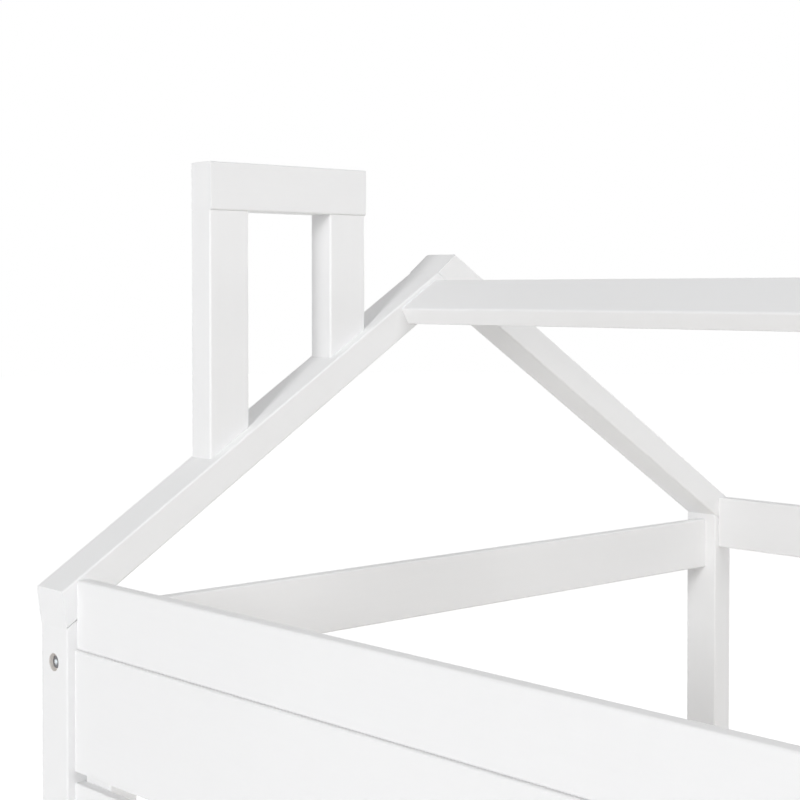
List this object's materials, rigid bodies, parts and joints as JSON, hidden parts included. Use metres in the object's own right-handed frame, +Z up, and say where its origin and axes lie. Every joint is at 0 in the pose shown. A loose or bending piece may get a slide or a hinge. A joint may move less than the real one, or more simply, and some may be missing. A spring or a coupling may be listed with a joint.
{
  "type": "house frame bed",
  "caption": "Twin-size children's bed in a white timber house frame: gabled roof with a chimney, boarded front wall with a doorway, guard rails and a slatted base.",
  "frame": {"origin": "on the floor, under the middle of the bed", "axes": "+X along the bed, away from the chimney gable; -Y towards the boarded front; +Z up"},
  "size_m": [2, 1.0894, 1.655],
  "materials": {
    "white_paint": "satin white paint on planed softwood",
    "bare_pine": "planed, unpainted",
    "beech": "fluted dowel rod, unpainted",
    "dark_steel": "dark oxide",
    "zinc_steel": "bright zinc plating"
  },
  "bodies": {
    "root": {"barrel_nuts": "zinc_steel", "centre_beam": "bare_pine", "centre_leg": "bare_pine", "chimney_cap": "white_paint", "chimney_post_front": "white_paint", "chimney_post_rear": "white_paint", "door_stile_left": "white_paint", "door_stile_right": "white_paint", "dowels": "beech", "eave_rail_front": "white_paint", "eave_rail_rear": "white_paint", "end_rail_left": "white_paint", "end_rail_right": "white_paint", "end_stile_left": "white_paint", "end_stile_right": "white_paint", "frame_screws": "zinc_steel", "gable_rail_left": "white_paint", "gable_rail_right": "white_paint", "guard_rail_left": "white_paint", "guard_rail_rear": "white_paint", "guard_rail_right": "white_paint", "header_board": "white_paint", "ledger_front": "bare_pine", "ledger_rear": "bare_pine", "long_bolts": "dark_steel", "post_left_front": "white_paint", "post_left_rear": "white_paint", "post_right_front": "white_paint", "post_right_rear": "white_paint", "rafter_left_front": "white_paint", "rafter_left_rear": "white_paint", "rafter_right_front": "white_paint", "rafter_right_rear": "white_paint", "ridge_board": "white_paint", "short_bolts": "dark_steel", "side_rail_front": "white_paint", "side_rail_rear": "white_paint", "slat_01": "bare_pine", "slat_02": "bare_pine", "slat_03": "bare_pine", "slat_04": "bare_pine", "slat_05": "bare_pine", "slat_06": "bare_pine", "slat_07": "bare_pine", "slat_08": "bare_pine", "slat_09": "bare_pine", "slat_10": "bare_pine", "slat_11": "bare_pine", "wall_board_left_1": "white_paint", "wall_board_left_2": "white_paint", "wall_board_left_3": "white_paint", "wall_board_left_4": "white_paint", "wall_board_left_5": "white_paint", "wall_board_right_1": "white_paint", "wall_board_right_2": "white_paint", "wall_board_right_3": "white_paint", "wall_board_right_4": "white_paint", "wall_board_right_5": "white_paint", "wood_screws": "zinc_steel"}
  },
  "joints": []
}
